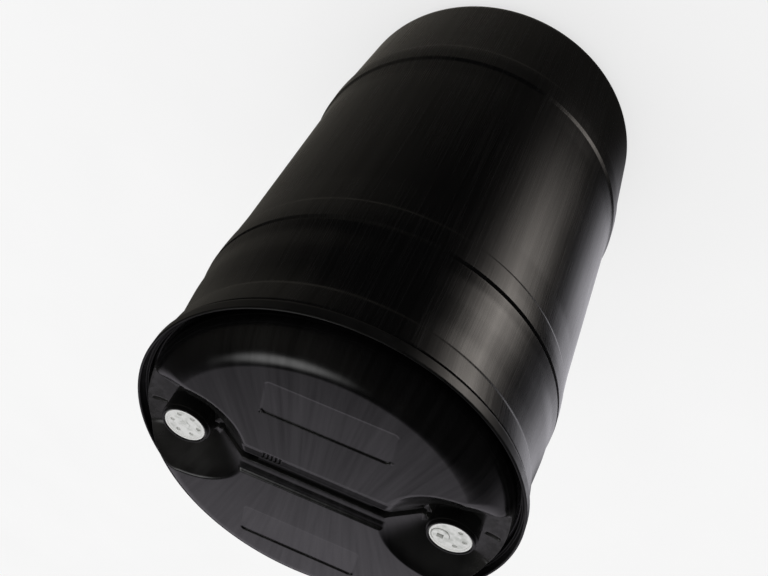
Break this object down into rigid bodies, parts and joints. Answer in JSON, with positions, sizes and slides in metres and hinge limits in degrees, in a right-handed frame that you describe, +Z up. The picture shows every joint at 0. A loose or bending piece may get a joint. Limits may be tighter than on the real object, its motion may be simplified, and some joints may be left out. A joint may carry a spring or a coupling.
{
  "type": "closed-head plastic drum",
  "caption": "Blow-moulded closed-head plastic drum with rolling hoops, an L-section lifting ring, and threaded screw plugs in recessed wells.",
  "frame": {"origin": "middle of the standing face, on the drum's axis", "axes": "+Z up along the drum's axis to the head; X runs through both closures, with the coarse-threaded one at +X"},
  "size_m": [0.5809, 0.581, 0.935],
  "materials": {
    "body_plastic": "semi-gloss black polyethylene with fine drawn streaks",
    "ring_plastic": "semi-gloss black polyethylene, smooth moulded",
    "neck_plastic": "smooth black moulded plastic",
    "plug_plastic": "natural white moulded plastic",
    "seal_rubber": "soft black rubber"
  },
  "bodies": {
    "drum": {"drum_shell": "body_plastic", "lifting_ring": "ring_plastic", "neck_insert_left": "neck_plastic", "neck_insert_right": "neck_plastic"},
    "gasket_left": {"plug_gasket_left": "seal_rubber"},
    "plug_left": {"plug_left": "plug_plastic"},
    "gasket_right": {"plug_gasket_right": "seal_rubber"},
    "plug_right": {"plug_right": "plug_plastic"},
    "gasket_small": {"reducer_gasket": "seal_rubber"},
    "plug_small": {"reducer_plug": "plug_plastic"}
  },
  "joints": [
    {"name": "plug_left_lift", "type": "slide", "parent": "drum", "child": "gasket_left", "axis": [0, 0, 1], "range_m": [-0.0001, 0.0181]},
    {"name": "plug_left_turn", "type": "hinge", "parent": "gasket_left", "child": "plug_left", "pos_m": [0.2, 0, 0.92], "axis": [0, 0, 1], "range_deg": [0, 1620]},
    {"name": "plug_right_lift", "type": "slide", "parent": "drum", "child": "gasket_right", "axis": [0, 0, 1], "range_m": [-0.0001, 0.0166]},
    {"name": "plug_right_turn", "type": "hinge", "parent": "gasket_right", "child": "plug_right", "pos_m": [-0.2, 0, 0.92], "axis": [0, 0, 1], "range_deg": [0, 2700]},
    {"name": "plug_small_lift", "type": "slide", "parent": "plug_right", "child": "gasket_small", "axis": [0, 0, 1], "range_m": [-0.0001, 0.0118]},
    {"name": "plug_small_turn", "type": "hinge", "parent": "gasket_small", "child": "plug_small", "pos_m": [-0.1858, 0.0034, 0.92], "axis": [0, 0, 1], "range_deg": [0, 2340]}
  ],
  "couplings": [
    {"joint": "plug_left_lift", "follows": "plug_left_turn", "m_per_rad": 0.00063662},
    {"joint": "plug_right_lift", "follows": "plug_right_turn", "m_per_rad": 0.00035014},
    {"joint": "plug_small_lift", "follows": "plug_small_turn", "m_per_rad": 0.00028648}
  ]
}
